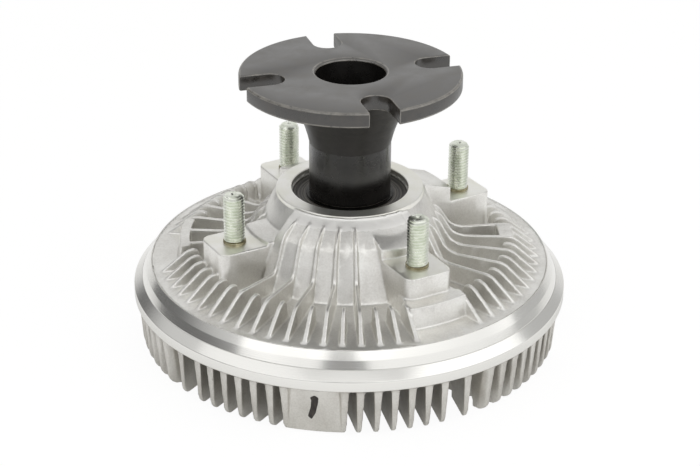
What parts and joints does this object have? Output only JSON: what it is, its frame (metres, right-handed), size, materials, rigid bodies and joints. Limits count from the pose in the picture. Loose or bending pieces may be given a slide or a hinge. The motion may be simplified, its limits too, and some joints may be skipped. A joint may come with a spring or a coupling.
{
  "type": "viscous fan clutch",
  "caption": "Round finned aluminium viscous fan clutch with a ribbed rear housing, threaded fan studs and a slotted black drive flange on a central shaft.",
  "frame": {"origin": "on the axis, level with the lower edges of the fins that it stands on", "axes": "+Z along the shaft towards the drive flange, -Y towards the front"},
  "size_m": [0.21, 0.21, 0.1356],
  "materials": {
    "cast_aluminium": "die cast, turned on the rim and collar",
    "black_steel": "black oxide on turned steel",
    "zinc_steel": "zinc plated",
    "bright_steel": "ground",
    "spring_steel": "oiled",
    "bimetal": "rolled strip",
    "cage_brass": "machined",
    "seal_rubber": "moulded"
  },
  "bodies": {
    "housing": {"rear_housing": "cast_aluminium", "front_cover": "cast_aluminium", "cover_seal_ring": "seal_rubber", "fan_studs": "zinc_steel", "separator_plate": "bright_steel", "plate_screws": "zinc_steel", "pump_dam": "bright_steel", "spindle_seal": "seal_rubber", "bimetal_coil": "bimetal", "bearing_outer_race": "bright_steel", "bearing_seal_upper": "seal_rubber", "bearing_seal_lower": "seal_rubber", "bearing_circlip": "spring_steel"},
    "drive_shaft": {"flange_shaft": "black_steel", "bearing_inner_race": "bright_steel", "race_clip": "spring_steel", "rotor_disc": "cast_aluminium", "rotor_clip": "spring_steel"},
    "ball_set": {"bearing_balls": "bright_steel", "ball_cage": "cage_brass"},
    "valve": {"valve_spindle": "bright_steel", "valve_arm": "spring_steel", "spindle_clip": "spring_steel"}
  },
  "joints": [
    {"name": "shaft_spin", "type": "hinge", "parent": "housing", "child": "drive_shaft", "pos_m": [0, 0, 0.067], "axis": [0, 0, 1], "continuous": true},
    {"name": "ball_orbit", "type": "hinge", "parent": "housing", "child": "ball_set", "pos_m": [0, 0, 0.067], "axis": [0, 0, 1], "continuous": true},
    {"name": "valve_turn", "type": "hinge", "parent": "housing", "child": "valve", "pos_m": [0, 0, 0.0175], "axis": [0, 0, 1], "range_deg": [0, 35], "stiffness_Nm_per_rad": 0.05, "deforming": ["bimetal_coil"]}
  ],
  "couplings": [
    {"joint": "ball_orbit", "follows": "shaft_spin", "ratio": 0.4181}
  ]
}
